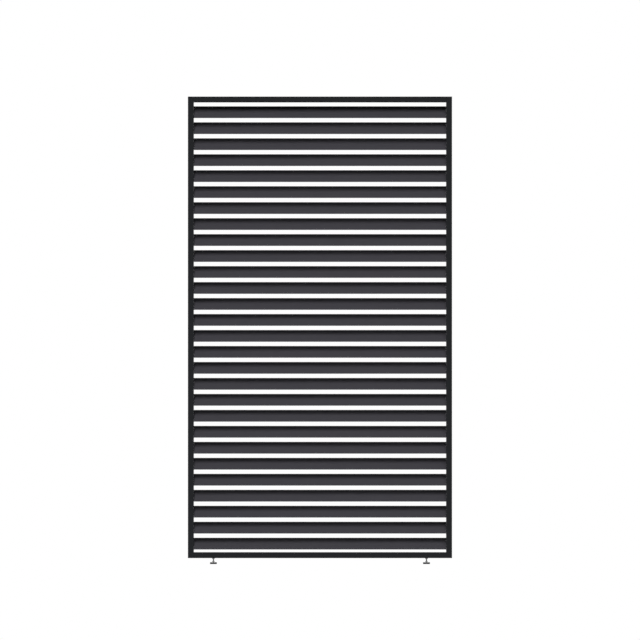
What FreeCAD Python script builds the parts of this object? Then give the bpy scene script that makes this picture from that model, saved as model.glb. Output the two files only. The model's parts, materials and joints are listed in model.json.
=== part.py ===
"""Louvred screen for a pergola bay.

Two channel stiles and two box rails make the frame. Aerofoil louvres turn on nylon bushes in the stiles.
A link bar hidden in the left stile ties the louvre cranks together, so that all louvres tilt as one.
Two screw feet under the bottom rail level the screen.

Millimetres. X runs along the width, Y from the front face to the back, Z up.
The origin lies on the floor, under the middle of the screen.
"""

import FreeCAD
import Part

import math
import os

Vector = FreeCAD.Vector

# Frame
frame_width = 1200.0
frame_height = 2097.0
frame_depth = 60.0
stile_face = 27.0
rail_face = 27.0
frame_wall = 2.0
corner_radius = 1.2

# Snap-on stile covers
cover_thickness = 2.0
cover_clearance = 0.3
ledge_height = 2.0
ledge_thickness = 1.5
leg_thickness = 1.5
leg_length = 5.0
barb_height = 1.2

# Stile end caps
cap_thickness = 2.0
cap_spigot_depth = 5.0
cap_spigot_wall = 2.0
cap_clearance = 0.3
cap_edge_radius = 0.6

# Corner joints: screws through the stile web into ports in the rails
port_offset = 18.0
port_wall = 2.2
port_web = 2.0
corner_screw_core_radius = 2.1
corner_screw_engagement = 22.0
corner_head_radius = 4.5
corner_head_height = 3.0
screw_clearance = 0.05
recess_width = 1.2
recess_length = 5.0
recess_depth = 1.6

# Louvres
louvre_pitch = 72.6
louvre_tilt_deg = 45.0
top_pivot_drop = 44.1
bottom_gap_closed = 1.0
blade_chord = 74.5
blade_thickness = 10.0
blade_edge_radius = 1.2
blade_wall = 1.4
blade_tip_wall = 3.0
blade_tip_cavity = 0.3
blade_web = 3.0
plug_plate = 2.5
plug_spigot_depth = 12.0
plug_clearance = 0.15
louvre_end_gap = 0.05

# Pivots
journal_radius = 4.0
journal_clearance = 0.05
bush_wall = 1.2
bush_seat_clearance = 0.05
bush_flange_radius = 7.5
bush_flange_thickness = 1.5
bush_sleeve_length = 3.0
journal_overhang = 0.5

# Cranks and link bar, in the left stile only
square_drive = 5.6
square_clearance = 0.05
crank_radius = 16.0
crank_hub_radius = 7.0
crank_end_radius = 5.0
crank_thickness = 4.0
crank_pin_radius = 2.0
crank_pin_clearance = 0.05
pin_head_radius = 2.7
pin_head_thickness = 1.2
crank_screw_core_radius = 1.2
crank_screw_length = 12.0
crank_head_radius = 2.75
crank_head_height = 2.0
link_bar_width = 12.0
link_bar_thickness = 3.0
link_bar_overrun = 15.0
link_side_gap = 0.4

# Holes for the screws that fix the stiles to the pergola posts
fixing_hole_radius = 2.75
fixing_setback = 14.0
fixing_count = 4
fixing_end_louvres = 2
spacer_wall = 2.0

# Levelling feet
foot_inset = 116.0
foot_height = 27.0
stud_radius = 3.0
stud_top = 46.0
stud_chamfer = 0.6
thread_clearance = 0.05
insert_wall = 1.5
insert_length = 14.0
insert_flange_radius = 6.0
insert_flange_thickness = 0.8
insert_bulge_radius = 5.8
insert_bulge_height = 3.0
insert_seat_clearance = 0.05
nut_width = 10.0
nut_height = 3.2
stud_hex_width = 10.0
stud_hex_height = 4.0
hex_chamfer = 0.6
pad_radius = 15.5
pad_height = 8.0
pad_edge_radius = 0.8
ball_radius = 3.3
ball_clearance = 0.05
ball_floor = 2.0
neck_radius = 1.6
neck_gap = 1.5
sole_recess_radius = 10.0
sole_recess_depth = 1.0

# Places worked out from the sizes above
half_width = frame_width / 2
half_depth = frame_depth / 2
frame_bottom = foot_height
frame_top = frame_bottom + frame_height
opening_bottom = frame_bottom + rail_face
opening_top = frame_top - rail_face
opening_half_width = half_width - stile_face
channel_half_depth = half_depth - frame_wall
web_inside = stile_face - frame_wall
stile_bottom = frame_bottom + cap_thickness
stile_top = frame_top - cap_thickness
rail_centres = {"top": frame_top - rail_face / 2, "bottom": frame_bottom + rail_face / 2}

half_chord = blade_chord / 2
half_thickness = blade_thickness / 2
top_pivot = opening_top - top_pivot_drop
lowest_pivot = opening_bottom + half_chord + bottom_gap_closed
louvre_count = int((top_pivot - lowest_pivot) / louvre_pitch + 1e-6) + 1
pivot_heights = [top_pivot - n * louvre_pitch for n in range(louvre_count)]

bush_bore = journal_radius + journal_clearance
bush_radius = bush_bore + bush_wall
louvre_half_length = opening_half_width - louvre_end_gap
blade_half_length = louvre_half_length - plug_plate

# Distances in from the stile's outer face, along the pivot axis
bush_end = web_inside - bush_flange_thickness - bush_sleeve_length
journal_end = bush_end - journal_overhang
crank_outer = journal_end - crank_thickness
bar_inner = crank_outer - link_side_gap
bar_outer = bar_inner - link_bar_thickness
pin_head_inner = bar_outer - link_side_gap
pin_head_outer = pin_head_inner - pin_head_thickness

insert_radius = stud_radius + thread_clearance + insert_wall
ball_centre = ball_floor + ball_radius + ball_clearance
hex_bottom = pad_height + neck_gap
hex_top = hex_bottom + stud_hex_height
nut_top = foot_height - insert_flange_thickness
foot_places = [("left", -half_width + foot_inset), ("right", half_width - foot_inset)]

SIDES = [("left", -1), ("right", 1)]


# Plain shapes
def place_x(side, inset):
    """X of a point that lies inset in from the outer face of the left (-1) or right (+1) stile."""
    return side * (half_width - inset)


def block(x_ends, y_ends, z_ends):
    """Box between the given pairs of ends, in any order."""
    low = [min(ends) for ends in (x_ends, y_ends, z_ends)]
    size = [abs(ends[1] - ends[0]) for ends in (x_ends, y_ends, z_ends)]
    return Part.makeBox(*size, Vector(*low))


def rod_x(x_ends, y, z, radius):
    """Cylinder along X between two ends."""
    length = abs(x_ends[1] - x_ends[0])
    return Part.makeCylinder(radius, length, Vector(min(x_ends), y, z), Vector(1, 0, 0))


def rod_z(x, y, z_ends, radius):
    """Upright cylinder between two heights."""
    return Part.makeCylinder(radius, z_ends[1] - z_ends[0], Vector(x, y, z_ends[0]))


def rounded_rectangle(half_a, half_b, radius, point):
    """Face of a rectangle with round corners. point turns flat coordinates (a, b) into a Vector."""
    corner = radius * (1 - math.sqrt(0.5))
    a, b = half_a - radius, half_b - radius
    edges = []
    for sign_a, sign_b in ((1, 1), (-1, 1), (-1, -1), (1, -1)):
        ends = [point(sign_a * half_a, sign_b * b), point(sign_a * a, sign_b * half_b)]
        middle = point(sign_a * (half_a - corner), sign_b * (half_b - corner))
        if sign_a * sign_b < 0:
            ends.reverse()
        edges.append(Part.Arc(ends[0], middle, ends[1]).toShape())
    for arc, following in zip(edges[:4], edges[1:4] + edges[:1]):
        edges.append(Part.LineSegment(arc.Vertexes[-1].Point, following.Vertexes[0].Point).toShape())
    return Part.Face(Part.Wire(Part.__sortEdges__(edges)))


def hexagon(x, z_ends, width):
    """Upright hexagonal prism, width across the flats, with its corners turned off at both ends."""
    corner = width / 2 / math.cos(math.pi / 6)
    points = [
        Vector(x + corner * math.cos(k * math.pi / 3), corner * math.sin(k * math.pi / 3), z_ends[0])
        for k in range(7)
    ]
    height = z_ends[1] - z_ends[0]
    prism = Part.Face(Part.makePolygon(points)).extrude(Vector(0, 0, height))
    low = Part.makeCone(corner - hex_chamfer, corner + height - hex_chamfer, height, Vector(x, 0, z_ends[0]))
    high = Part.makeCone(corner + height - hex_chamfer, corner - hex_chamfer, height, Vector(x, 0, z_ends[0]))
    return prism.common(low).common(high)


def cross_recess(x_ends, y, z):
    """Cross-shaped driver recess cut into a screw head that faces along X."""
    half_long, half_wide = recess_length / 2, recess_width / 2
    upright = block(x_ends, (y - half_wide, y + half_wide), (z - half_long, z + half_long))
    level = block(x_ends, (y - half_long, y + half_long), (z - half_wide, z + half_wide))
    return upright.fuse(level)


# Frame
def fixing_heights():
    """Heights of the post fixing holes: each midway between two louvres, evenly spaced."""
    step = (louvre_count - 2 * fixing_end_louvres) // (fixing_count - 1)
    above = [fixing_end_louvres - 1 + k * step for k in range(fixing_count)]
    return [(pivot_heights[n] + pivot_heights[n + 1]) / 2 for n in above]


def stile_outline(side, z):
    """Outer outline of a stile at height z."""
    middle = place_x(side, stile_face / 2)
    return rounded_rectangle(
        stile_face / 2, half_depth, corner_radius, lambda a, b: Vector(middle + a, b, z)
    )


def stile(side):
    """Channel open to the post, with a ledge along each lip, pivot holes, screw holes and fixing holes."""
    z_ends = (stile_bottom, stile_top)
    body = stile_outline(side, stile_bottom).extrude(Vector(0, 0, stile_top - stile_bottom))
    channel_x = (place_x(side, 0), place_x(side, web_inside))
    body = body.cut(block(channel_x, (-channel_half_depth, channel_half_depth), z_ends))
    ledge_x = [place_x(side, cover_thickness + extra) for extra in (0, ledge_thickness)]
    for lip in (-1, 1):
        ledge_y = (lip * (channel_half_depth - ledge_height), lip * (channel_half_depth + frame_wall / 2))
        body = body.fuse(block(ledge_x, ledge_y, z_ends))
    web_x = (place_x(side, web_inside), place_x(side, stile_face))
    seat = bush_radius + bush_seat_clearance
    holes = [rod_x(web_x, 0, z, seat) for z in pivot_heights]
    holes += [rod_x(web_x, -fixing_setback, z, fixing_hole_radius) for z in fixing_heights()]
    for z in rail_centres.values():
        for y in (-port_offset, port_offset):
            holes.append(rod_x(web_x, y, z, corner_screw_core_radius + screw_clearance))
    return body.removeSplitter().cut(Part.Compound(holes))


def stile_cover(side):
    """Strip that closes the channel. Its two legs snap behind the ledges."""
    z_ends = (stile_bottom, stile_top)
    half = channel_half_depth - cover_clearance
    body = block((place_x(side, 0), place_x(side, cover_thickness)), (-half, half), z_ends)
    leg_end = cover_thickness + leg_length
    barb_start = cover_thickness + ledge_thickness + cover_clearance
    for lip in (-1, 1):
        leg_outer = channel_half_depth - ledge_height - cover_clearance
        leg_y = (lip * leg_outer, lip * (leg_outer - leg_thickness))
        leg_x = (place_x(side, cover_thickness), place_x(side, leg_end))
        barb_y = (lip * leg_outer, lip * (leg_outer + barb_height))
        barb_x = (place_x(side, barb_start), place_x(side, leg_end))
        body = body.fuse(block(leg_x, leg_y, z_ends)).fuse(block(barb_x, barb_y, z_ends))
    holes = [
        rod_x((place_x(side, 0), place_x(side, cover_thickness)), -fixing_setback, z, fixing_hole_radius)
        for z in fixing_heights()
    ]
    return body.removeSplitter().cut(Part.Compound(holes))


def stile_cap(side, end):
    """Moulded cap on the top or bottom end of a stile, with a hollow spigot inside the channel."""
    if end == "top":
        plate_bottom, rim_z = stile_top, frame_top
        spigot_z = (stile_top - cap_spigot_depth, stile_top)
    else:
        plate_bottom, rim_z = frame_bottom, frame_bottom
        spigot_z = (stile_bottom, stile_bottom + cap_spigot_depth)
    plate = stile_outline(side, plate_bottom).extrude(Vector(0, 0, cap_thickness))
    rim = [edge for edge in plate.Edges if abs(edge.CenterOfMass.z - rim_z) < cap_thickness / 4]
    plate = plate.makeFillet(cap_edge_radius, rim)
    outer_inset = cover_thickness + leg_length + cap_clearance
    inner_inset = web_inside - cap_clearance
    half = channel_half_depth - cap_clearance
    spigot_x = (place_x(side, outer_inset), place_x(side, inner_inset))
    spigot = block(spigot_x, (-half, half), spigot_z)
    hollow_x = (place_x(side, outer_inset + cap_spigot_wall), place_x(side, inner_inset - cap_spigot_wall))
    hollow_half = half - cap_spigot_wall
    spigot = spigot.cut(block(hollow_x, (-hollow_half, hollow_half), spigot_z))
    return plate.fuse(spigot).removeSplitter()


def rail(end):
    """Box rail between the stiles, with two screw ports along its length."""
    z = rail_centres[end]
    x_ends = (-opening_half_width, opening_half_width)
    length = Vector(2 * opening_half_width, 0, 0)
    outline = rounded_rectangle(
        half_depth, rail_face / 2, corner_radius, lambda a, b: Vector(x_ends[0], a, z + b)
    )
    half_height = rail_face / 2 - frame_wall
    body = outline.extrude(length)
    inside_y = (-channel_half_depth, channel_half_depth)
    inside_z = (z - half_height, z + half_height)
    body = body.cut(block(x_ends, inside_y, inside_z))
    port_bore = corner_screw_core_radius + screw_clearance
    for y in (-port_offset, port_offset):
        web = block(x_ends, (y - port_web / 2, y + port_web / 2), inside_z)
        body = body.fuse(web).fuse(rod_x(x_ends, y, z, port_bore + port_wall))
    body = body.removeSplitter()
    for y in (-port_offset, port_offset):
        body = body.cut(rod_x(x_ends, y, z, port_bore))
    return body


def bottom_rail():
    """Bottom rail, with a hole in its lower wall for each foot insert."""
    wall_z = (frame_bottom, frame_bottom + frame_wall)
    seat = insert_radius + insert_seat_clearance
    return rail("bottom").cut(Part.Compound([rod_z(x, 0, wall_z, seat) for _, x in foot_places]))


def corner_screws(end):
    """The four pan-head screws that hold the top or bottom rail: two in each stile."""
    screws = []
    for _, side in SIDES:
        for y in (-port_offset, port_offset):
            z = rail_centres[end]
            head_x = (place_x(side, web_inside - corner_head_height), place_x(side, web_inside))
            shank_x = (place_x(side, web_inside), place_x(side, stile_face + corner_screw_engagement))
            shank = rod_x(shank_x, y, z, corner_screw_core_radius)
            screw = rod_x(head_x, y, z, corner_head_radius).fuse(shank)
            recess_x = (head_x[0], place_x(side, web_inside - corner_head_height + recess_depth))
            screws.append(screw.cut(cross_recess(recess_x, y, z)))
    return Part.Compound(screws)


def fixing_spacers(side):
    """Tubes that stop the stile from being crushed when it is screwed to a post."""
    x_ends = (place_x(side, cover_thickness), place_x(side, web_inside))
    spacers = []
    for z in fixing_heights():
        outer = rod_x(x_ends, -fixing_setback, z, fixing_hole_radius + spacer_wall)
        spacers.append(outer.cut(rod_x(x_ends, -fixing_setback, z, fixing_hole_radius)))
    return Part.Compound(spacers)


def pivot_bushes(side):
    """One flanged bush for each louvre, seated in the stile web from inside the channel."""
    bushes = []
    through_x = (place_x(side, bush_end), place_x(side, stile_face))
    flange_x = (place_x(side, web_inside - bush_flange_thickness), place_x(side, web_inside))
    for z in pivot_heights:
        bush = rod_x(through_x, 0, z, bush_radius).fuse(rod_x(flange_x, 0, z, bush_flange_radius))
        bushes.append(bush.removeSplitter().cut(rod_x(through_x, 0, z, bush_bore)))
    return Part.Compound(bushes)


# Louvres, built upright on the X axis and then tilted
def blade_half_height(along):
    """Half the blade's thickness at a distance along its chord from the pivot."""
    share = along / (half_chord - blade_edge_radius)
    return blade_edge_radius + (half_thickness - blade_edge_radius) * (1 - share**2)


def blade_outline(x):
    """Aerofoil outline in the plane at x: two shallow arcs joined by two round edges."""
    tip = half_chord - blade_edge_radius
    edge = blade_edge_radius
    around = [(edge, tip), (half_thickness, 0), (edge, -tip), (0, -half_chord)]
    around += [(-y, -z) for y, z in around]
    points = [Vector(x, y, z) for y, z in around + around[:1]]
    arcs = [Part.Arc(*points[k : k + 3]).toShape() for k in (0, 2, 4, 6)]
    return Part.Face(Part.Wire(arcs))


def blade_cavities(x_ends, clearance):
    """The two hollows of the blade between x_ends, each smaller by a clearance all round."""
    near = blade_web / 2 + clearance
    far = half_chord - blade_edge_radius - blade_tip_wall - clearance
    middle = (near + far) / 2
    hollows = []
    for end in (-1, 1):
        heights = [
            max(blade_half_height(z) - blade_wall - clearance, blade_tip_cavity) for z in (near, middle, far)
        ]
        front = [Vector(x_ends[0], -y, end * z) for y, z in zip(heights, (near, middle, far))]
        back = [Vector(p.x, -p.y, p.z) for p in front]
        edges = [
            Part.Arc(*front).toShape(),
            Part.LineSegment(front[2], back[2]).toShape(),
            Part.Arc(*reversed(back)).toShape(),
            Part.LineSegment(back[0], front[0]).toShape(),
        ]
        hollows.append(Part.Face(Part.Wire(edges)).extrude(Vector(x_ends[1] - x_ends[0], 0, 0)))
    return hollows


def blade():
    """Hollow extruded blade with a web along its middle."""
    x_ends = (-blade_half_length, blade_half_length)
    body = blade_outline(x_ends[0]).extrude(Vector(2 * blade_half_length, 0, 0))
    return body.cut(Part.Compound(blade_cavities(x_ends, 0.0)))


def square_prism(x_ends, half):
    """Square prism about the pivot axis, turned with the blade."""
    return block(x_ends, (-half, half), (-half, half))


def end_plug(side):
    """Moulded plug in a blade end: closing plate, two spigots and the journal that turns in the bush."""
    plate_start = side * blade_half_length
    plug = blade_outline(plate_start).extrude(Vector(side * plug_plate, 0, 0))
    for spigot in blade_cavities((plate_start, plate_start - side * plug_spigot_depth), plug_clearance):
        plug = plug.fuse(spigot)
    journal_x = (side * louvre_half_length, place_x(side, journal_end))
    return plug.fuse(rod_x(journal_x, 0, 0, journal_radius)).removeSplitter()


def drive_plug():
    """The left plug, which carries the crank on a square beyond its journal."""
    square_x = (place_x(-1, journal_end), place_x(-1, crank_outer))
    plug = end_plug(-1).fuse(square_prism(square_x, square_drive / 2))
    tapped_x = (place_x(-1, crank_outer), place_x(-1, crank_outer + crank_screw_length))
    return plug.cut(rod_x(tapped_x, 0, 0, crank_screw_core_radius + screw_clearance))


def crank():
    """Crank arm on the square, level with the pivot at rest, with a snap-headed pin for the link bar."""
    plate_x = (place_x(-1, crank_outer), place_x(-1, journal_end))
    arm = block(plate_x, (0, crank_radius), (-crank_end_radius, crank_end_radius))
    body = rod_x(plate_x, 0, 0, crank_hub_radius).fuse(arm)
    body = body.fuse(rod_x(plate_x, crank_radius, 0, crank_end_radius)).removeSplitter()
    pin_x = (place_x(-1, pin_head_outer), place_x(-1, crank_outer))
    head_x = (place_x(-1, pin_head_outer), place_x(-1, pin_head_inner))
    body = body.fuse(rod_x(pin_x, crank_radius, 0, crank_pin_radius))
    body = body.fuse(rod_x(head_x, crank_radius, 0, pin_head_radius)).removeSplitter()
    return body.cut(tilted(square_prism(plate_x, square_drive / 2 + square_clearance)))


def crank_screw():
    """Screw and head that hold the crank on its square."""
    head_x = (place_x(-1, crank_outer - crank_head_height), place_x(-1, crank_outer))
    shank_x = (place_x(-1, crank_outer), place_x(-1, crank_outer + crank_screw_length))
    return rod_x(head_x, 0, 0, crank_head_radius).fuse(rod_x(shank_x, 0, 0, crank_screw_core_radius))


def tilted(shape):
    """Shape turned from upright to the louvres' tilt at rest, top edge to the back."""
    turned = shape.copy()
    turned.rotate(Vector(0, 0, 0), Vector(1, 0, 0), -louvre_tilt_deg)
    return turned


def louvre_pieces():
    """The pieces of one louvre about the X axis: blade, two plugs, crank and crank screw."""
    return [tilted(blade()), tilted(drive_plug()), tilted(end_plug(1)), crank(), crank_screw()]


def link_bar():
    """Flat bar on all the crank pins."""
    x_ends = (place_x(-1, bar_outer), place_x(-1, bar_inner))
    y_ends = (crank_radius - link_bar_width / 2, crank_radius + link_bar_width / 2)
    z_ends = (pivot_heights[-1] - link_bar_overrun, pivot_heights[0] + link_bar_overrun)
    hole = crank_pin_radius + crank_pin_clearance
    holes = [rod_x(x_ends, crank_radius, z, hole) for z in pivot_heights]
    return block(x_ends, y_ends, z_ends).cut(Part.Compound(holes))


# Feet
def foot_insert(x):
    """Rivet nut in the bottom rail's lower wall."""
    wall_top = frame_bottom + frame_wall
    z_ends = (nut_top, frame_bottom + insert_length)
    body = rod_z(x, 0, z_ends, insert_radius)
    body = body.fuse(rod_z(x, 0, (nut_top, frame_bottom), insert_flange_radius))
    body = body.fuse(rod_z(x, 0, (wall_top, wall_top + insert_bulge_height), insert_bulge_radius))
    return body.removeSplitter().cut(rod_z(x, 0, z_ends, stud_radius + thread_clearance))


def foot_nut(x):
    """Thin hexagon nut that locks the stud against the insert."""
    z_ends = (nut_top - nut_height, nut_top)
    return hexagon(x, z_ends, nut_width).cut(rod_z(x, 0, z_ends, stud_radius + thread_clearance))


def foot_stud(x):
    """Screw stud with a spanner hexagon and a ball that sits in the pad."""
    shank_top = stud_top - stud_chamfer
    tip = Part.makeCone(stud_radius, stud_radius - stud_chamfer, stud_chamfer, Vector(x, 0, shank_top))
    stud = rod_z(x, 0, (hex_top, shank_top), stud_radius).fuse(tip)
    stud = stud.fuse(hexagon(x, (hex_bottom, hex_top), stud_hex_width))
    stud = stud.fuse(rod_z(x, 0, (ball_centre, hex_bottom), neck_radius))
    return stud.fuse(Part.makeSphere(ball_radius, Vector(x, 0, ball_centre)))


def foot_pad(x):
    """Flat round pad: rounded top edge, ball socket open at the top and a shallow recess below."""
    pad = rod_z(x, 0, (0, pad_height), pad_radius)
    top_edge = [edge for edge in pad.Edges if edge.BoundBox.ZMin > pad_height / 2]
    pad = pad.makeFillet(pad_edge_radius, top_edge)
    pad = pad.cut(rod_z(x, 0, (0, sole_recess_depth), sole_recess_radius))
    pad = pad.cut(Part.makeSphere(ball_radius + ball_clearance, Vector(x, 0, ball_centre)))
    return pad.cut(rod_z(x, 0, (ball_centre, pad_height), neck_radius + ball_clearance))


# All nodes, by name
def all_nodes():
    """Every node of the screen as a name and its shape."""
    nodes = {"top_rail": rail("top"), "bottom_rail": bottom_rail(), "link_bar": link_bar()}
    for name, side in SIDES:
        nodes[f"{name}_stile"] = stile(side)
        nodes[f"{name}_stile_cover"] = stile_cover(side)
        nodes[f"{name}_stile_top_cap"] = stile_cap(side, "top")
        nodes[f"{name}_stile_bottom_cap"] = stile_cap(side, "bottom")
        nodes[f"{name}_pivot_bushes"] = pivot_bushes(side)
        nodes[f"{name}_fixing_spacers"] = fixing_spacers(side)
    for end in rail_centres:
        nodes[f"{end}_rail_screws"] = corner_screws(end)
    for name, x in foot_places:
        nodes[f"{name}_foot_insert"] = foot_insert(x)
        nodes[f"{name}_foot_lock_nut"] = foot_nut(x)
        nodes[f"{name}_foot_stud"] = foot_stud(x)
        nodes[f"{name}_foot_pad"] = foot_pad(x)
    pieces = louvre_pieces()
    for number, height in enumerate(pivot_heights, start=1):
        placed = [piece.translated(Vector(0, 0, height)) for piece in pieces]
        nodes[f"louvre_{number:02d}"] = Part.Compound(placed)
    return nodes


def main():
    os.makedirs("parts", exist_ok=True)
    nodes = all_nodes()
    for name, shape in nodes.items():
        shape.exportStep(os.path.join("parts", f"{name}.step"))
        sound = all(solid.isValid() and solid.Volume > 0 for solid in shape.Solids)
        print(f"{name}: {len(shape.Solids)} solids, {shape.Volume / 1000:.1f} cm3, sound {sound}")
    lowest = pivot_heights[-1] - opening_bottom
    print(f"{len(nodes)} nodes, {louvre_count} louvres, lowest pivot {lowest:.1f} mm above the rail")


main()
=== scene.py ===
# %% [markdown]
# # A louvred screen for a pergola bay
#
# The screen is a slim powder-coated frame filled with tilting louvres, on two levelling feet.
# Its construction is already made at real size, so this lesson adds what the eye needs: the camera,
# the light, the finishes, and the one shape that was left plain, the screw thread of the feet.

# %% Load the construction
import json
import math

import bmesh
import bpy
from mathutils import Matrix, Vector


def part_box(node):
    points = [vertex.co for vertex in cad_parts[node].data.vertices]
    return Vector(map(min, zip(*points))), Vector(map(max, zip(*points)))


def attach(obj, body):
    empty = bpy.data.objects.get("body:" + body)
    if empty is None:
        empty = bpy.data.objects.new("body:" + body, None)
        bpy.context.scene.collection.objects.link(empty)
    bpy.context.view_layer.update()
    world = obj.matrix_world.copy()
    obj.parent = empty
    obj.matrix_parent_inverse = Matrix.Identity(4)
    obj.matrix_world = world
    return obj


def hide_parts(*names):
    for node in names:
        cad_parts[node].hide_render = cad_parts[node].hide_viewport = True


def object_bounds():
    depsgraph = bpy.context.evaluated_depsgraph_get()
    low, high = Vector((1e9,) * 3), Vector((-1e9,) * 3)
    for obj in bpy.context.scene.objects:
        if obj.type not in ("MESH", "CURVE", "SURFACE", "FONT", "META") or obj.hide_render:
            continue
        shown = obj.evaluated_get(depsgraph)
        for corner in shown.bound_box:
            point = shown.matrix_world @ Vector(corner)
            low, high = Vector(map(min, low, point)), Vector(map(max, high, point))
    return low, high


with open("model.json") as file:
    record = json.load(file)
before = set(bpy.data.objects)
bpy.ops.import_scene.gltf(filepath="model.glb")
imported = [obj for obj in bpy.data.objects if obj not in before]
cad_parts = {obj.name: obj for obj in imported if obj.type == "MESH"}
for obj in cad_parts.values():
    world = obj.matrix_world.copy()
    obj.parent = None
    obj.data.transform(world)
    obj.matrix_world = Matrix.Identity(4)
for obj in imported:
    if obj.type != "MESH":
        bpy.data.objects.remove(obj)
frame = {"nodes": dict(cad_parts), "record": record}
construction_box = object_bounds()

MM = 0.001
scene = bpy.context.scene
scene.view_settings.view_transform = "Standard"
print("pieces of the construction:", len(frame["nodes"]))
print("box in metres:", [tuple(round(value, 3) for value in corner) for corner in construction_box])

# %% [markdown]
# ## Camera
#
# The picture shows the screen square on, with no vanishing lines: neither the inner sides of the
# stiles nor the tops of the rails can be seen. A long lens from far away would do, but a camera
# without perspective gives the same picture exactly. Its scale is the real size of one pixel,
# which comes from the frame's width in the picture.

# %% Camera
PICTURE_PIXELS = 640
FRAME_LEFT_PIXEL = 187.90
FRAME_RIGHT_PIXEL = 452.03
RAIL_UNDERSIDE_PIXEL = 558.10
CAMERA_DISTANCE = 8.0
CAMERA_REACH = 100.0

frame_width = construction_box[1].x - construction_box[0].x
pixel_size = frame_width / (FRAME_RIGHT_PIXEL - FRAME_LEFT_PIXEL)
rail_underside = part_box("bottom_rail")[0].z
picture_middle = PICTURE_PIXELS / 2
middle_x = (picture_middle - (FRAME_LEFT_PIXEL + FRAME_RIGHT_PIXEL) / 2) * pixel_size
middle_z = rail_underside + (RAIL_UNDERSIDE_PIXEL - picture_middle) * pixel_size

camera_data = bpy.data.cameras.new("camera")
camera_data.type = "ORTHO"
camera_data.ortho_scale = PICTURE_PIXELS * pixel_size
camera_data.clip_end = CAMERA_REACH
camera = bpy.data.objects.new("camera", camera_data)
camera.location = (middle_x, -CAMERA_DISTANCE, middle_z)
camera.rotation_euler = (math.radians(90), 0, 0)
scene.collection.objects.link(camera)
scene.camera = camera
print("one pixel is", round(pixel_size / MM, 4), "mm")

# %% [markdown]
# ## Light
#
# Each louvre is bright along its lower half and falls off smoothly towards its top, where the louvre
# above shades it. How fast it falls off says how high the light stands, and the narrow shadow of the
# left stile on the louvre ends says how far to the left. One tall, narrow light explains both. Suns are
# used because every louvre is lit alike: a column of four, one above the other, stands for the tall light,
# and a wide one fills in from the right. Two at the sides and two behind show the rest of the screen.
# These last four stand lower than the louvres' slope, so that none of their light comes through to the
# louvre faces, and reflections leave them out, because a low lamp would glare on the top rail.

# %% A lamp
def sun(name, left_degrees, up_degrees, strength, spread_degrees):
    """A sun seen from the screen at an angle to the left of the camera and above the horizon."""
    left = math.radians(left_degrees)
    up = math.radians(up_degrees)
    towards = Vector((-math.sin(left) * math.cos(up), -math.cos(left) * math.cos(up), math.sin(up)))
    lamp = bpy.data.lights.new(name, "SUN")
    lamp.energy = strength
    lamp.angle = math.radians(spread_degrees)
    placed = bpy.data.objects.new(name, lamp)
    placed.location = towards * CAMERA_DISTANCE
    placed.rotation_euler = towards.to_track_quat("Z", "Y").to_euler()
    scene.collection.objects.link(placed)
    return placed


# %% Lamps in front
# All angles are in degrees. A height is the angle above the horizon.
KEY_LEFT = 11.5
KEY_STRENGTH_AT_HEIGHT = {37.0: 0.38, 46.0: 0.62, 55.0: 0.64, 63.0: 0.62}
KEY_SPREAD = 11.0
FILL_RIGHT = 20.0
FILL_HEIGHT = 50.0
FILL_STRENGTH = 1.1
FILL_SPREAD = 32.0

for height, strength in KEY_STRENGTH_AT_HEIGHT.items():
    sun(f"key_{height:.0f}", KEY_LEFT, height, strength, KEY_SPREAD)
sun("fill", -FILL_RIGHT, FILL_HEIGHT, FILL_STRENGTH, FILL_SPREAD)
print("lamps in front:", [lamp.name for lamp in bpy.data.lights])

# %% Lamps at the sides and behind
LOW_STRENGTH_AT_ANGLE = {94.0: 1.2, 152.0: 1.5}
LOW_HEIGHT = 20.0
LOW_SPREAD = 18.0

for side, way in (("left", 1), ("right", -1)):
    for angle, strength in LOW_STRENGTH_AT_ANGLE.items():
        low_sun = sun(f"{side}_{angle:.0f}", way * angle, LOW_HEIGHT, strength, LOW_SPREAD)
        low_sun.visible_glossy = False
print("lamps in all:", len(bpy.data.lights))

# %% [markdown]
# ## World
#
# Behind the screen is plain white. A bright world would give that, but it would also wash out the dark
# coat. So the world shows white only to the camera and to mirror-like rays, and a much dimmer dome,
# brighter overhead, to the surfaces that it lights. The Light Path node tells these rays apart.

# %% Tools for node trees
def link(tree, start, end):
    """Join two sockets."""
    tree.links.new(start, end)


def math_node(tree, operation, first, second, clamp=False):
    """A Math node whose inputs are sockets or plain numbers. Gives back its output."""
    node = tree.nodes.new("ShaderNodeMath")
    node.operation = operation
    node.use_clamp = clamp
    for socket, value in zip(node.inputs, (first, second)):
        if isinstance(value, bpy.types.NodeSocket):
            link(tree, value, socket)
        else:
            socket.default_value = value
    return node.outputs[0]


def between(tree, value, low, high, start=0.0, end=1.0, smooth=False):
    """A number that runs from low to high as a value runs from start to end."""
    node = tree.nodes.new("ShaderNodeMapRange")
    node.interpolation_type = "SMOOTHSTEP" if smooth else "LINEAR"
    for label, number in (("From Min", start), ("From Max", end), ("To Min", low), ("To Max", high)):
        node.inputs[label].default_value = number
    link(tree, value, node.inputs["Value"])
    return node.outputs[0]


# %% Tools for light and background
def mix_shaders(tree, share, first, second):
    """A mix of two shaders: the first where share is 0, the second where it is 1."""
    node = tree.nodes.new("ShaderNodeMixShader")
    link(tree, share, node.inputs[0])
    link(tree, first.outputs[0], node.inputs[1])
    link(tree, second.outputs[0], node.inputs[2])
    return node.outputs[0]


def seen_rays(tree):
    """1 on rays from the camera, from mirror-like surfaces and through glass, and 0 on the rest."""
    path = tree.nodes.new("ShaderNodeLightPath")
    total = math_node(tree, "ADD", path.outputs["Is Camera Ray"], path.outputs["Is Glossy Ray"])
    return math_node(tree, "ADD", total, path.outputs["Is Transmission Ray"], clamp=True)


# %% World
DOME_OVERHEAD = 0.25
DOME_HORIZON = 0.03
WHITE = (1, 1, 1, 1)

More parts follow.
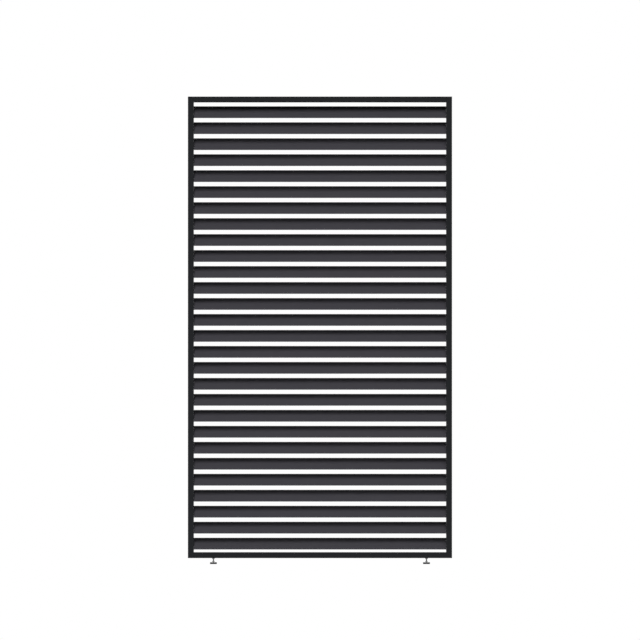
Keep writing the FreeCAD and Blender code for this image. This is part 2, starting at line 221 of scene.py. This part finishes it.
world = bpy.data.worlds.new("studio")
world.use_nodes = True
scene.world = world
tree = world.node_tree
tree.nodes.clear()
direction = tree.nodes.new("ShaderNodeTexCoord")
split = tree.nodes.new("ShaderNodeSeparateXYZ")
link(tree, direction.outputs["Generated"], split.inputs[0])
dome = tree.nodes.new("ShaderNodeBackground")
link(tree, between(tree, split.outputs["Z"], DOME_HORIZON, DOME_OVERHEAD), dome.inputs["Strength"])
white = tree.nodes.new("ShaderNodeBackground")
for shader in (dome, white):
    shader.inputs["Color"].default_value = WHITE
world_output = tree.nodes.new("ShaderNodeOutputWorld")
link(tree, mix_shaders(tree, seen_rays(tree), dome, white), world_output.inputs["Surface"])
print("dome strength:", DOME_HORIZON, "at the horizon and", DOME_OVERHEAD, "overhead")

# %% [markdown]
# ## Floor
#
# The floor is a pale disc that fades into the white of the world, so that no edge shows, and it holds the
# screen's shadow. To the camera it is pale. To the light that bounces from it, it is much darker, because
# the louvres' undersides show no glow from below.

# %% Floor disc
FLOOR_RADIUS = 12.0
FLOOR_SIDES = 96

floor_shape = bmesh.new()
bmesh.ops.create_circle(floor_shape, cap_ends=True, segments=FLOOR_SIDES, radius=FLOOR_RADIUS)
floor_mesh = bpy.data.meshes.new("floor")
floor_shape.to_mesh(floor_mesh)
floor_shape.free()
floor = bpy.data.objects.new("floor", floor_mesh)
scene.collection.objects.link(floor)
print("floor disc:", 2 * FLOOR_RADIUS, "m across")

# %% Floor finish
FADE_START = 1.6
FADE_END = 5.0
FLOOR_TONE = 0.66
FLOOR_BOUNCE = 0.10


def object_place(tree):
    """Coordinates fixed to the object, in metres."""
    return tree.nodes.new("ShaderNodeTexCoord").outputs["Object"]


floor_finish = bpy.data.materials.new("pale_floor")
floor_finish.use_nodes = True
tree = floor_finish.node_tree
tree.nodes.clear()
reach = tree.nodes.new("ShaderNodeVectorMath")
reach.operation = "LENGTH"
link(tree, object_place(tree), reach.inputs[0])
fade = between(tree, reach.outputs["Value"], 0.0, 1.0, FADE_START, FADE_END, smooth=True)
seen = seen_rays(tree)
matt = tree.nodes.new("ShaderNodeBsdfDiffuse")
link(tree, between(tree, seen, FLOOR_BOUNCE, FLOOR_TONE), matt.inputs["Color"])
glow = tree.nodes.new("ShaderNodeEmission")
floor_look = mix_shaders(tree, math_node(tree, "MULTIPLY", fade, seen), matt, glow)
floor_output = tree.nodes.new("ShaderNodeOutputMaterial")
link(tree, floor_look, floor_output.inputs["Surface"])
floor_mesh.materials.append(floor_finish)
print("floor fades from", FADE_START, "to", FADE_END, "m out")

# %% [markdown]
# ## Shared effects
#
# Several finishes on the screen need the same few effects: the fine pebbling of a baked coat or a moulded
# surface, the streaks that a die or a lathe leaves, and a trace of dust on what faces up. Each is built
# once as a node group, with its sizes in metres as inputs, and placed in each material with its own values.

# %% Tools for node groups
def new_group(name, inputs, outputs):
    """An empty shader group with number inputs, given with their usual values, and number outputs."""
    group = bpy.data.node_groups.new(name, "ShaderNodeTree")
    for label, value in inputs.items():
        socket = group.interface.new_socket(name=label, in_out="INPUT", socket_type="NodeSocketFloat")
        socket.default_value = value
    for label in outputs:
        group.interface.new_socket(name=label, in_out="OUTPUT", socket_type="NodeSocketFloat")
    start = group.nodes.new("NodeGroupInput")
    end = group.nodes.new("NodeGroupOutput")
    print("effect:", name, "with", list(inputs), "gives", outputs)
    return group, start, end


def noise(tree, vector, size, detail, roughness=0.5):
    """Noise from 0 to 1 whose patches have about the size that a socket gives."""
    node = tree.nodes.new("ShaderNodeTexNoise")
    node.inputs["Detail"].default_value = detail
    node.inputs["Roughness"].default_value = roughness
    link(tree, vector, node.inputs["Vector"])
    link(tree, math_node(tree, "DIVIDE", 1.0, size), node.inputs["Scale"])
    return node.outputs["Fac"]


# %% Pebbled surface
CELL_SHARE = 0.6

pebble, pebble_in, pebble_out = new_group(
    "pebbled surface", {"Pebble Size": 0.8 * MM, "Cloud Size": 150 * MM}, ["Height", "Cloud"]
)
place = object_place(pebble)
grains = noise(pebble, place, pebble_in.outputs["Pebble Size"], detail=3.0, roughness=0.6)
cells = pebble.nodes.new("ShaderNodeTexVoronoi")
cells.feature = "SMOOTH_F1"
link(pebble, place, cells.inputs["Vector"])
link(pebble, math_node(pebble, "DIVIDE", 1.0, pebble_in.outputs["Pebble Size"]), cells.inputs["Scale"])
domes = math_node(pebble, "MULTIPLY", cells.outputs["Distance"], CELL_SHARE)
link(pebble, math_node(pebble, "ADD", grains, domes), pebble_out.inputs["Height"])
link(pebble, noise(pebble, place, pebble_in.outputs["Cloud Size"], detail=4.0), pebble_out.inputs["Cloud"])

# %% Drawn streaks
# On each axis, 1 leaves the noise as it is, and 0.01 draws it out a hundred times into streaks.
streaks, streaks_in, streaks_out = new_group(
    "drawn streaks", {"Across Size": 0.6 * MM, "Along X": 1.0, "Along Y": 1.0, "Along Z": 0.01}, ["Streak"]
)
factors = streaks.nodes.new("ShaderNodeCombineXYZ")
for label in ("X", "Y", "Z"):
    link(streaks, streaks_in.outputs[f"Along {label}"], factors.inputs[label])
stretch = streaks.nodes.new("ShaderNodeVectorMath")
stretch.operation = "MULTIPLY"
link(streaks, object_place(streaks), stretch.inputs[0])
link(streaks, factors.outputs[0], stretch.inputs[1])
lines = noise(streaks, stretch.outputs[0], streaks_in.outputs["Across Size"], detail=3.0)
link(streaks, lines, streaks_out.inputs["Streak"])

# %% Settled dust
UPWARD_POWER = 2.0

dust, dust_in, dust_out = new_group("settled dust", {"Amount": 0.2, "Patch Size": 40 * MM}, ["Mask"])
facing = dust.nodes.new("ShaderNodeSeparateXYZ")
link(dust, dust.nodes.new("ShaderNodeTexCoord").outputs["Normal"], facing.inputs[0])
upward = math_node(dust, "MAXIMUM", facing.outputs["Z"], 0.0)
patches = noise(dust, object_place(dust), dust_in.outputs["Patch Size"], detail=6.0, roughness=0.65)
settled = math_node(dust, "MULTIPLY", math_node(dust, "POWER", upward, UPWARD_POWER), patches)
mask = math_node(dust, "MULTIPLY", settled, dust_in.outputs["Amount"], clamp=True)
link(dust, mask, dust_out.inputs["Mask"])

# %% [markdown]
# ## Powder coat
#
# Frame and louvres wear an anthracite coat that is sprayed on as a powder and baked. Up close it is finely
# pebbled, dull rather than shiny, and a shade uneven over a hand's width. A glossy paint would need a
# strong reflection. Here it is weak and broad, because the pebbles scatter it. The louvres are a little
# lighter than the frame.

# %% Tools for finishes
def new_finish(name):
    """A new material, with its node tree and its shader."""
    material = bpy.data.materials.new(name)
    material.use_nodes = True
    print("finish:", name)
    return material, material.node_tree, material.node_tree.nodes["Principled BSDF"]


def place_group(tree, group, **values):
    """A copy of a shared effect in a material, with its own values. Spaces in names are written _."""
    node = tree.nodes.new("ShaderNodeGroup")
    node.node_tree = group
    for label, value in values.items():
        node.inputs[label.replace("_", " ")].default_value = value
    return node


def mix_colour(tree, mask, first, second):
    """A colour between two, each a socket or a plain colour."""
    node = tree.nodes.new("ShaderNodeMix")
    node.data_type = "RGBA"
    link(tree, mask, node.inputs["Factor"])
    for socket, value in ((node.inputs["A"], first), (node.inputs["B"], second)):
        if isinstance(value, bpy.types.NodeSocket):
            link(tree, value, socket)
        else:
            socket.default_value = (*value, 1)
    return node.outputs["Result"]


def bump(tree, height, relief):
    """A normal bent by a height from 0 to 1. relief is what 1 stands for, in metres."""
    node = tree.nodes.new("ShaderNodeBump")
    node.inputs["Strength"].default_value = 1.0
    node.inputs["Distance"].default_value = relief
    link(tree, height, node.inputs["Height"])
    return node.outputs[0]


# %% Grained and dusty finish
DUST_COLOUR = (0.16, 0.155, 0.145)


def grained_finish(name, shades, roughness, reflection, relief, grain, film):
    """A pebbled finish that wanders between two shades, with a trace of dust on what faces up."""
    material, tree, shader = new_finish(name)
    surface = place_group(tree, pebble, **grain)
    dusted = place_group(tree, dust, **film)
    shade = mix_colour(tree, surface.outputs["Cloud"], *shades)
    link(tree, mix_colour(tree, dusted.outputs["Mask"], shade, DUST_COLOUR), shader.inputs["Base Color"])
    link(tree, between(tree, surface.outputs["Cloud"], *roughness), shader.inputs["Roughness"])
    link(tree, bump(tree, surface.outputs["Height"], relief), shader.inputs["Normal"])
    shader.inputs["Specular IOR Level"].default_value = reflection
    return material


# %% Powder coat
FRAME_SHADES = ((0.0160, 0.0168, 0.0186), (0.0195, 0.0205, 0.0227))
LOUVRE_SHADES = ((0.0336, 0.0323, 0.0387), (0.0388, 0.0374, 0.0447))
COAT_ROUGHNESS = (0.62, 0.74)
COAT_REFLECTION = 0.06
COAT_RELIEF = 0.2 * MM
COAT_GRAIN = {"Pebble_Size": 0.7 * MM, "Cloud_Size": 220 * MM}
COAT_DUST = {"Amount": 0.10, "Patch_Size": 50 * MM}


def powder_coat(name, shades):
    """Baked coat of the frame or of the louvres."""
    return grained_finish(name, shades, COAT_ROUGHNESS, COAT_REFLECTION, COAT_RELIEF, COAT_GRAIN, COAT_DUST)


frame_coat = powder_coat("frame_powder_coat", FRAME_SHADES)
louvre_coat = powder_coat("louvre_powder_coat", LOUVRE_SHADES)

# %% [markdown]
# ## Metals
#
# The feet's studs and nuts are steel with a grey zinc plate. They were turned on a lathe, so faint rings
# run round them. The link bar and the spacers are bare aluminium, with the streaks that the die left, which
# run up and down the bar. On a metal the colour tints the reflection, so most of the look comes from how
# the roughness changes over the surface.

# %% Zinc plate
ZINC_SHADES = ((0.20, 0.205, 0.215), (0.29, 0.29, 0.285))
ZINC_ROUGHNESS = (0.28, 0.46)
ZINC_RELIEF = 0.008 * MM
ZINC_GRAIN = {"Pebble_Size": 0.4 * MM, "Cloud_Size": 6 * MM}
LATHE_RINGS = {"Across_Size": 0.4 * MM, "Along_X": 0.05, "Along_Y": 0.05, "Along_Z": 1.0}


def zinc_plate():
    """Grey zinc on turned steel: faint rings from turning and a cool, uneven cast."""
    material, tree, shader = new_finish("zinc_plated_steel")
    cast = place_group(tree, pebble, **ZINC_GRAIN)
    rings = place_group(tree, streaks, **LATHE_RINGS)
    link(tree, mix_colour(tree, cast.outputs["Cloud"], *ZINC_SHADES), shader.inputs["Base Color"])
    link(tree, between(tree, rings.outputs["Streak"], *ZINC_ROUGHNESS), shader.inputs["Roughness"])
    link(tree, bump(tree, cast.outputs["Height"], ZINC_RELIEF), shader.inputs["Normal"])
    shader.inputs["Metallic"].default_value = 1.0
    return material


zinc_steel = zinc_plate()

# %% Mill aluminium
ALUMINIUM_SHADES = ((0.50, 0.50, 0.51), (0.66, 0.66, 0.66))
ALUMINIUM_ROUGHNESS = (0.34, 0.52)
ALUMINIUM_RELIEF = 0.012 * MM
ALUMINIUM_GRAIN = {"Pebble_Size": 0.5 * MM, "Cloud_Size": 50 * MM}
DIE_STREAKS = {"Across_Size": 0.6 * MM, "Along_X": 1.0, "Along_Y": 1.0, "Along_Z": 0.01}


def mill_aluminium():
    """Bare aluminium as it leaves the die: dull, with upright streaks."""
    material, tree, shader = new_finish("mill_aluminium")
    drawn = place_group(tree, streaks, **DIE_STREAKS)
    cast = place_group(tree, pebble, **ALUMINIUM_GRAIN)
    link(tree, mix_colour(tree, drawn.outputs["Streak"], *ALUMINIUM_SHADES), shader.inputs["Base Color"])
    link(tree, between(tree, cast.outputs["Cloud"], *ALUMINIUM_ROUGHNESS), shader.inputs["Roughness"])
    link(tree, bump(tree, drawn.outputs["Streak"], ALUMINIUM_RELIEF), shader.inputs["Normal"])
    shader.inputs["Metallic"].default_value = 1.0
    return material


bare_aluminium = mill_aluminium()

# %% [markdown]
# ## Moulded nylon
#
# The caps of the stiles, the bushes and the feet's pads are moulded. The mould gives them a finer grain
# than the coat has, so they share the coat's recipe with smaller sizes. The caps are made to match the
# frame, so they are almost as dull as the coat. The pads are a little lighter and keep a soft sheen.

# %% Moulded nylon
CAP_SHADES = ((0.0145, 0.0152, 0.0168), (0.0180, 0.0189, 0.0209))
CAP_ROUGHNESS = (0.58, 0.70)
CAP_REFLECTION = 0.10
PAD_SHADES = ((0.022, 0.022, 0.023), (0.032, 0.032, 0.033))
PAD_ROUGHNESS = (0.42, 0.58)
PAD_REFLECTION = 0.3
NYLON_RELIEF = 0.024 * MM
NYLON_GRAIN = {"Pebble_Size": 0.5 * MM, "Cloud_Size": 12 * MM}
NYLON_DUST = {"Amount": 0.12, "Patch_Size": 6 * MM}


def moulded_nylon(name, shades, roughness, reflection):
    """Moulded plastic with a fine spark-eroded grain."""
    return grained_finish(name, shades, roughness, reflection, NYLON_RELIEF, NYLON_GRAIN, NYLON_DUST)


cap_nylon = moulded_nylon("cap_nylon", CAP_SHADES, CAP_ROUGHNESS, CAP_REFLECTION)
foot_nylon = moulded_nylon("foot_nylon", PAD_SHADES, PAD_ROUGHNESS, PAD_REFLECTION)

# %% [markdown]
# ## Dressing the pieces
#
# The construction says for each piece which kind of surface it has. So the finishes aren't given out piece
# by piece: each kind gets one finish, and a loop over the pieces does the rest.

# %% Dress the construction
finish_of_slot = {
    "frame_coat": frame_coat,
    "louvre_coat": louvre_coat,
    "zinc_steel": zinc_steel,
    "bare_aluminium": bare_aluminium,
    "black_nylon": cap_nylon,
    "foot_nylon": foot_nylon,
}

pieces_of_slot = dict.fromkeys(finish_of_slot, 0)
for entry in frame["record"]["subparts"]:
    mesh = frame["nodes"][entry["node"]].data
    mesh.materials.clear()
    mesh.materials.append(finish_of_slot[entry["material_slot"]])
    pieces_of_slot[entry["material_slot"]] += 1
print("pieces with each finish:", pieces_of_slot)

# %% [markdown]
# ## Threaded studs
#
# Each foot stands on a screw stud, and the bare stretch of thread between pad and nut is in plain view.
# A bump pattern would leave its outline smooth, so the thread is modelled: the profile of one turn is
# spun round the axis while it climbs by one pitch a turn, which is what a screw is. The hexagon, the neck
# and the ball below it are right in the construction. A copy of the plain stud is cut off level with the
# top of its hexagon, and the thread is set there. One fill between the two open rims makes it one skin.

# %% A level cut
def cut_level(shape, height, upward):
    """Cut away what lies above a height (upward 1) or below it (-1). Gives back the open rim."""
    everything = shape.verts[:] + shape.edges[:] + shape.faces[:]
    cut = bmesh.ops.bisect_plane(
        shape, geom=everything, plane_co=(0, 0, height), plane_no=(0, 0, upward), clear_outer=True
    )
    return [item for item in cut["geom_cut"] if isinstance(item, bmesh.types.BMEdge)]


# %% The thread
STUD_RADIUS = 3.0 * MM
THREAD_PITCH = 1.0 * MM
THREAD_DEPTH = 0.61 * MM
ROOT_FLAT = THREAD_PITCH / 4
CREST_FLAT = THREAD_PITCH / 8
STEPS_A_TURN = 40
SPARE_TURNS = 2
MERGE = 0.001 * MM


def thread_turn():
    """Radius and climb at each point of one turn's profile, from root to root."""
    root = STUD_RADIUS - THREAD_DEPTH
    flank = (THREAD_PITCH - ROOT_FLAT - CREST_FLAT) / 2
    crest_start = ROOT_FLAT + flank
    crest_end = crest_start + CREST_FLAT
    return [
        (root, 0.0),
        (root, ROOT_FLAT),
        (STUD_RADIUS, crest_start),
        (STUD_RADIUS, crest_end),
        (root, THREAD_PITCH),
    ]


def thread_rod(axis, low, high):
    """A threaded rod about an upright axis, between two heights, open at its lower end."""
    start = low - THREAD_PITCH
    turns = math.ceil((high - low) / THREAD_PITCH) + SPARE_TURNS
    rod = bmesh.new()
    verts = [rod.verts.new(axis + Vector((radius, 0, start + climb))) for radius, climb in thread_turn()]
    edges = [rod.edges.new(pair) for pair in zip(verts, verts[1:])]
    bmesh.ops.spin(
        rod,
        geom=verts + edges,
        cent=axis,
        axis=(0, 0, 1),
        dvec=(0, 0, THREAD_PITCH / STEPS_A_TURN),
        angle=turns * math.tau,
        steps=turns * STEPS_A_TURN,
        use_merge=False,
    )
    # The spin's faces come in another order each run, so they are sorted by their first points.
    rod.verts.index_update()
    rod.faces.sort(key=lambda face: min(vert.index for vert in face.verts))
    bmesh.ops.remove_doubles(rod, verts=rod.verts, dist=MERGE)
    cut_level(rod, low, -1)
    bmesh.ops.holes_fill(rod, edges=cut_level(rod, high, 1), sides=0)
    return rod


# %% The stud below the thread
CUT_MARGIN = 0.01 * MM


def cut_stud(plain, axis):
    """A copy of a plain stud, cut a hair below its hexagon's top, and the height of that cut."""
    shape = bmesh.new()
    shape.from_mesh(plain.data)
    bmesh.ops.remove_doubles(shape, verts=shape.verts, dist=MERGE)
    wide = [vert.co.z for vert in shape.verts if (vert.co - axis).xy.length > STUD_RADIUS + CUT_MARGIN]
    cut_height = max(wide) - CUT_MARGIN
    cut_level(shape, cut_height, 1)
    return shape, cut_height


# %% One skin
SHARP_EDGE = math.radians(35)


def join_rims(shape, rod, mesh):
    """Set a threaded rod on a cut stud, fill between their open rims and write one closed mesh."""
    rod.to_mesh(mesh)
    rod.free()
    shape.from_mesh(mesh)
    rims = [edge for edge in shape.edges if edge.is_boundary]
    bmesh.ops.triangle_fill(shape, edges=rims, use_beauty=True)
    bmesh.ops.dissolve_degenerate(shape, dist=MERGE, edges=shape.edges)
    bmesh.ops.recalc_face_normals(shape, faces=shape.faces)
    open_edges = sum(not edge.is_manifold for edge in shape.edges)
    shape.to_mesh(mesh)
    shape.free()
    print(mesh.name, "faces:", len(mesh.polygons), "open edges:", open_edges)


def smooth_between_edges(mesh):
    """Smooth shading that leaves the edges of hexagon and thread sharp."""
    plain_normals = mesh.attributes.get("custom_normal")
    if plain_normals:
        mesh.attributes.remove(plain_normals)
    mesh.shade_smooth()
    mesh.set_sharp_from_angle(angle=SHARP_EDGE)


# %% Make the studs
for side in ("left", "right"):
    plain = frame["nodes"][f"{side}_foot_stud"]
    low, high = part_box(plain.name)
    axis = Vector(((low.x + high.x) / 2, (low.y + high.y) / 2, 0))
    shape, cut_height = cut_stud(plain, axis)
    mesh = bpy.data.meshes.new(f"{side}_threaded_stud")
    join_rims(shape, thread_rod(axis, cut_height, high.z), mesh)
    smooth_between_edges(mesh)
    mesh.materials.append(zinc_steel)

    stud = bpy.data.objects.new(f"{side}_threaded_stud", mesh)
    scene.collection.objects.link(stud)
    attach(stud, f"{side}_foot_stud")
    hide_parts(f"{side}_foot_stud")
